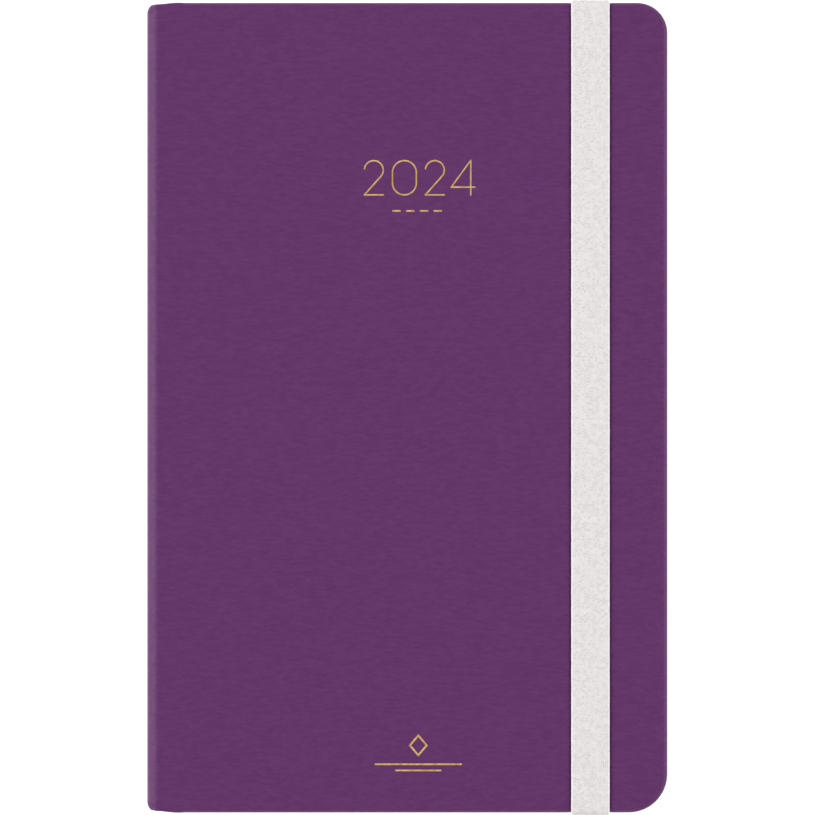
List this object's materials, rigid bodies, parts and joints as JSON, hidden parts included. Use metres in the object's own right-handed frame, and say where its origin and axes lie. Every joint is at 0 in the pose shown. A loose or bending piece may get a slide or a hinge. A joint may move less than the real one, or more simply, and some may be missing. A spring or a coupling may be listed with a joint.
{
  "type": "hardcover diary",
  "caption": "A5 hardcover year diary with sewn pages, soft leatherette covers, foil-stamped year and a wide elastic band that holds it shut.",
  "frame": {"origin": "on the surface the diary lies on, under the middle of its box", "axes": "+Z out of the front cover, +X from the spine to the fore-edge, +Y from tail to head"},
  "size_m": [0.135, 0.2114, 0.0163],
  "materials": {
    "leatherette": "matte",
    "greyboard": "matte",
    "endpaper": "matte",
    "page_paper": "matte",
    "elastic": "matte",
    "gold_foil": "satin",
    "liner_paper": "matte",
    "mull": "matte",
    "thread": "matte",
    "band_cloth": "matte"
  },
  "bodies": {
    "text_block": {"signature_01": "page_paper", "signature_02": "page_paper", "signature_03": "page_paper", "signature_04": "page_paper", "signature_05": "page_paper", "signature_06": "page_paper", "signature_07": "page_paper", "signature_08": "page_paper", "signature_09": "page_paper", "signature_10": "page_paper", "signature_11": "page_paper", "signature_12": "page_paper", "back_flyleaf": "endpaper", "sewing_thread": "thread", "spine_mull": "mull", "spine_liner": "liner_paper", "headband": "band_cloth", "tailband": "band_cloth", "spine_board": "greyboard", "spine_skin": "leatherette"},
    "front_cover": {"front_board": "greyboard", "front_cover_skin": "leatherette", "front_pastedown": "endpaper", "foil_year": "gold_foil", "foil_dashes": "gold_foil", "foil_ornament": "gold_foil"},
    "back_cover": {"back_board": "greyboard", "back_cover_skin": "leatherette", "back_pastedown": "endpaper", "elastic_head_tab": "elastic", "elastic_tail_tab": "elastic"},
    "elastic": {"elastic_band": "elastic"},
    "front_flyleaf": {"front_flyleaf": "endpaper"},
    "leaf_1": {"leaf_1": "page_paper"},
    "leaf_2": {"leaf_2": "page_paper"},
    "leaf_3": {"leaf_3": "page_paper"},
    "leaf_4": {"leaf_4": "page_paper"},
    "leaf_5": {"leaf_5": "page_paper"}
  },
  "joints": [
    {"name": "front_cover_hinge", "type": "hinge", "parent": "text_block", "child": "front_cover", "pos_m": [-0.061, 0, 0.0156], "axis": [0, -1, 0], "range_deg": [0, 180]},
    {"name": "back_cover_hinge", "type": "hinge", "parent": "text_block", "child": "back_cover", "pos_m": [-0.061, 0, 0], "axis": [0, 1, 0], "range_deg": [0, 180]},
    {"name": "elastic_pull", "type": "slide", "parent": "back_cover", "child": "elastic", "axis": [1, 0, 0], "range_m": [0, 0.03], "stiffness_N_per_m": 60, "deforming": ["elastic_band"]},
    {"name": "front_flyleaf_turn", "type": "hinge", "parent": "text_block", "child": "front_flyleaf", "pos_m": [-0.0575, 0, 0.012], "axis": [0, -1, 0], "range_deg": [0, 108.5]},
    {"name": "leaf_1_turn", "type": "hinge", "parent": "text_block", "child": "leaf_1", "pos_m": [-0.0575, 0, 0.012], "axis": [0, -1, 0], "range_deg": [0, 86.9]},
    {"name": "leaf_2_turn", "type": "hinge", "parent": "text_block", "child": "leaf_2", "pos_m": [-0.0575, 0, 0.012], "axis": [0, -1, 0], "range_deg": [0, 67.1]},
    {"name": "leaf_3_turn", "type": "hinge", "parent": "text_block", "child": "leaf_3", "pos_m": [-0.0575, 0, 0.012], "axis": [0, -1, 0], "range_deg": [0, 49.1]},
    {"name": "leaf_4_turn", "type": "hinge", "parent": "text_block", "child": "leaf_4", "pos_m": [-0.0575, 0, 0.012], "axis": [0, -1, 0], "range_deg": [0, 32.9]},
    {"name": "leaf_5_turn", "type": "hinge", "parent": "text_block", "child": "leaf_5", "pos_m": [-0.0575, 0, 0.012], "axis": [0, -1, 0], "range_deg": [0, 18.5]}
  ],
  "couplings": [
    {"joint": "front_flyleaf_turn", "follows": "front_cover_hinge", "ratio": 0.6},
    {"joint": "leaf_1_turn", "follows": "front_cover_hinge", "ratio": 0.48},
    {"joint": "leaf_2_turn", "follows": "front_cover_hinge", "ratio": 0.37},
    {"joint": "leaf_3_turn", "follows": "front_cover_hinge", "ratio": 0.27},
    {"joint": "leaf_4_turn", "follows": "front_cover_hinge", "ratio": 0.18},
    {"joint": "leaf_5_turn", "follows": "front_cover_hinge", "ratio": 0.1}
  ]
}
